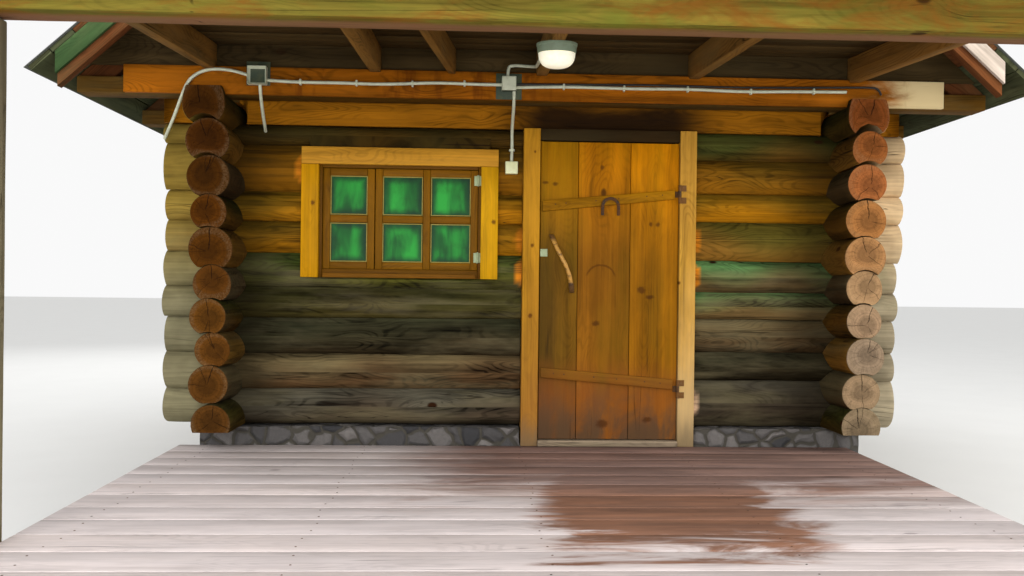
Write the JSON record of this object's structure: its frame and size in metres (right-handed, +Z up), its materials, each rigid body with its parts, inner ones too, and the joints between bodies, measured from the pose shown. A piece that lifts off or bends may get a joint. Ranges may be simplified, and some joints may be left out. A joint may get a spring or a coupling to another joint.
{
  "type": "small log cabin with covered porch",
  "caption": "Small log cabin with saddle-notched corners, a plank door that opens, a casement window, a steep gable roof and a lean-to porch over a plank deck.",
  "frame": {"origin": "on the ground, at the middle of the outline seen from above", "axes": "+X along the front, to the right of someone facing the door; +Y into the cabin, away from the porch; +Z up"},
  "size_m": [5.2024, 6.69, 4.6044],
  "materials": {
    "wall_log": "weathered",
    "hewn_timber": "rough",
    "fresh_board": "oiled",
    "brown_frame": "oiled",
    "door_wood": "oiled",
    "dark_wood": "rough",
    "peeled_branch": "smooth",
    "roof_timber": "rough",
    "weathered_timber": "weathered",
    "deck_wood": "weathered",
    "rubble": "rough",
    "felt": "matte",
    "iron": "rusty",
    "pale_plate": "worn",
    "dark_plate": "matte",
    "white_plastic": "matte",
    "black_rubber": "matte",
    "green_base": "matte",
    "milky_dome": "gloss",
    "pane": "gloss"
  },
  "bodies": {
    "cabin": {"front_logs_left_odd": "wall_log", "front_logs_left_even": "wall_log", "front_logs_right_odd": "wall_log", "front_logs_right_even": "wall_log", "rear_logs_odd": "wall_log", "rear_logs_even": "wall_log", "left_logs_odd": "wall_log", "left_logs_even": "wall_log", "right_logs_odd": "wall_log", "right_logs_even": "wall_log", "front_top_log": "hewn_timber", "rear_top_log": "hewn_timber", "tie_beams": "hewn_timber", "tie_infill": "hewn_timber", "face_board": "fresh_board", "door_post_left": "fresh_board", "door_post_right": "fresh_board", "window_casing": "fresh_board", "window_frame": "brown_frame", "window_sashes": "brown_frame", "door_head": "dark_wood", "door_threshold": "dark_wood", "gable_boards": "dark_wood", "porch_roof_boards": "dark_wood", "roof_boards": "dark_wood", "ceiling_boards": "dark_wood", "rafters": "roof_timber", "porch_joists": "roof_timber", "porch_front_beam": "weathered_timber", "porch_posts": "weathered_timber", "bargeboards": "weathered_timber", "bearers": "weathered_timber", "deck_boards": "deck_wood", "floor_boards": "deck_wood", "plinth_front_and_rear": "rubble", "plinth_sides": "rubble", "piers": "rubble", "roof_felt": "felt", "porch_felt": "felt", "hinge_brackets": "iron", "box_back_plates": "dark_plate", "junction_boxes": "white_plastic", "wall_switch": "white_plastic", "white_conduits": "white_plastic", "black_cable": "black_rubber", "lamp_base": "green_base", "lamp_dome": "milky_dome", "window_glass": "pane"},
    "door": {"door_planks": "door_wood", "door_battens": "door_wood", "door_handle": "peeled_branch", "door_horseshoe": "iron", "door_latch_plate": "pale_plate", "door_hinge_straps": "iron"}
  },
  "joints": [
    {"name": "door_hinge", "type": "hinge", "parent": "cabin", "child": "door", "pos_m": [0.8105, -0.91, 1.185], "axis": [0, 0, 1], "range_deg": [0, 110]}
  ]
}
